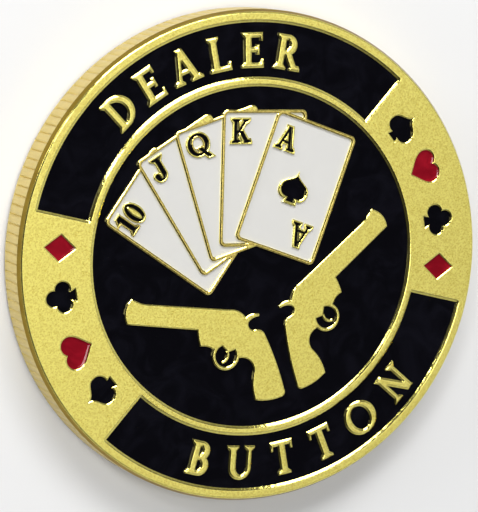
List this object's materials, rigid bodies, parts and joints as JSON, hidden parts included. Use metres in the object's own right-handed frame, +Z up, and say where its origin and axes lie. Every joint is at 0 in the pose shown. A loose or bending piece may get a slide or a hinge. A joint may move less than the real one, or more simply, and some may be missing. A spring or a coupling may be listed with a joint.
{
  "type": "poker dealer button",
  "caption": "Round metal dealer button with a reeded edge, raised card and revolver relief and enamel-filled recesses on both faces.",
  "frame": {"origin": "centre of the resting rim of the reverse face, on the surface it lies on", "axes": "+Z up along the coin's axis out of the front face, +Y towards the top of the front design, +X to its right"},
  "size_m": [0.05, 0.05, 0.0049],
  "materials": {
    "plated_metal": "sandblasted gold plating with polished edges",
    "black_enamel": "glossy soft enamel",
    "white_enamel": "glossy soft enamel",
    "red_enamel": "glossy translucent soft enamel"
  },
  "bodies": {
    "root": {"back_ace_card_enamel": "white_enamel", "back_ace_index_enamel": "black_enamel", "back_ace_pip_enamel": "black_enamel", "back_centre_field_enamel": "black_enamel", "back_jack_card_enamel": "white_enamel", "back_jack_index_enamel": "black_enamel", "back_king_card_enamel": "white_enamel", "back_king_index_enamel": "black_enamel", "back_left_club_enamel": "black_enamel", "back_left_diamond_enamel": "red_enamel", "back_left_heart_enamel": "red_enamel", "back_left_spade_enamel": "black_enamel", "back_letter_counters_enamel": "black_enamel", "back_lower_band_enamel": "black_enamel", "back_queen_card_enamel": "white_enamel", "back_queen_index_enamel": "black_enamel", "back_right_club_enamel": "black_enamel", "back_right_diamond_enamel": "red_enamel", "back_right_heart_enamel": "red_enamel", "back_right_spade_enamel": "black_enamel", "back_ten_card_enamel": "white_enamel", "back_ten_index_enamel": "black_enamel", "back_trigger_guards_enamel": "black_enamel", "back_upper_band_enamel": "black_enamel", "coin_body": "plated_metal", "front_ace_card_enamel": "white_enamel", "front_ace_index_enamel": "black_enamel", "front_ace_pip_enamel": "black_enamel", "front_centre_field_enamel": "black_enamel", "front_jack_card_enamel": "white_enamel", "front_jack_index_enamel": "black_enamel", "front_king_card_enamel": "white_enamel", "front_king_index_enamel": "black_enamel", "front_left_club_enamel": "black_enamel", "front_left_diamond_enamel": "red_enamel", "front_left_heart_enamel": "red_enamel", "front_left_spade_enamel": "black_enamel", "front_letter_counters_enamel": "black_enamel", "front_lower_band_enamel": "black_enamel", "front_queen_card_enamel": "white_enamel", "front_queen_index_enamel": "black_enamel", "front_right_club_enamel": "black_enamel", "front_right_diamond_enamel": "red_enamel", "front_right_heart_enamel": "red_enamel", "front_right_spade_enamel": "black_enamel", "front_ten_card_enamel": "white_enamel", "front_ten_index_enamel": "black_enamel", "front_trigger_guards_enamel": "black_enamel", "front_upper_band_enamel": "black_enamel"}
  },
  "joints": []
}
